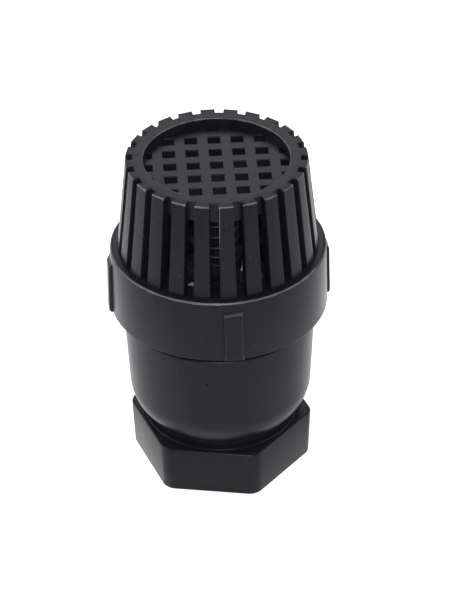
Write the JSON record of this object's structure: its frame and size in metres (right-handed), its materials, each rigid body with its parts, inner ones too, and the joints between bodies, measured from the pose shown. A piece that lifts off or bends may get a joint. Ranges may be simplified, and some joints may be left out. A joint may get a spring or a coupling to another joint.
{
  "type": "foot valve",
  "caption": "Plastic foot valve for a pump suction line: threaded hexagonal pipe end, round bowl, screwed-on slotted strainer cap and a spring-closed poppet inside.",
  "frame": {"origin": "centre of the pipe end face, at the bottom of the hexagon", "axes": "+Z along the valve's axis from the pipe end to the strainer, -Y out of one flat of the hexagon"},
  "size_m": [0.061, 0.061, 0.0988],
  "materials": {
    "black_polymer": "satin injection-moulded black plastic",
    "inner_polymer": "dull dark moulded plastic",
    "nitrile_rubber": "dull black rubber",
    "stainless_steel": "bright drawn and turned stainless steel"
  },
  "bodies": {
    "housing": {"valve_body": "black_polymer", "seat_plate": "inner_polymer", "body_o_ring": "nitrile_rubber", "return_spring": "stainless_steel"},
    "poppet": {"poppet_disc": "inner_polymer", "seal_disc": "nitrile_rubber", "seal_clamp_plate": "stainless_steel", "valve_stem": "inner_polymer", "stem_washer": "stainless_steel", "stem_lock_nut": "stainless_steel", "spring_retainer": "inner_polymer", "retaining_clip": "stainless_steel"},
    "gasket": {"cap_gasket": "nitrile_rubber"},
    "strainer": {"strainer_cap": "black_polymer"}
  },
  "joints": [
    {"name": "poppet_slide", "type": "slide", "parent": "housing", "child": "poppet", "axis": [0, 0, -1], "range_m": [0, 0.008], "stiffness_N_per_m": 150, "springref_m": -0.01, "deforming": ["return_spring"]},
    {"name": "strainer_travel", "type": "slide", "parent": "housing", "child": "gasket", "axis": [0, 0, 1], "range_m": [0, 0.0101]},
    {"name": "strainer_turn", "type": "hinge", "parent": "gasket", "child": "strainer", "pos_m": [0, 0, 0.0617], "axis": [0, 0, 1], "range_deg": [0, 1440]}
  ],
  "couplings": [
    {"joint": "strainer_travel", "follows": "strainer_turn", "m_per_rad": 0.00039789}
  ]
}
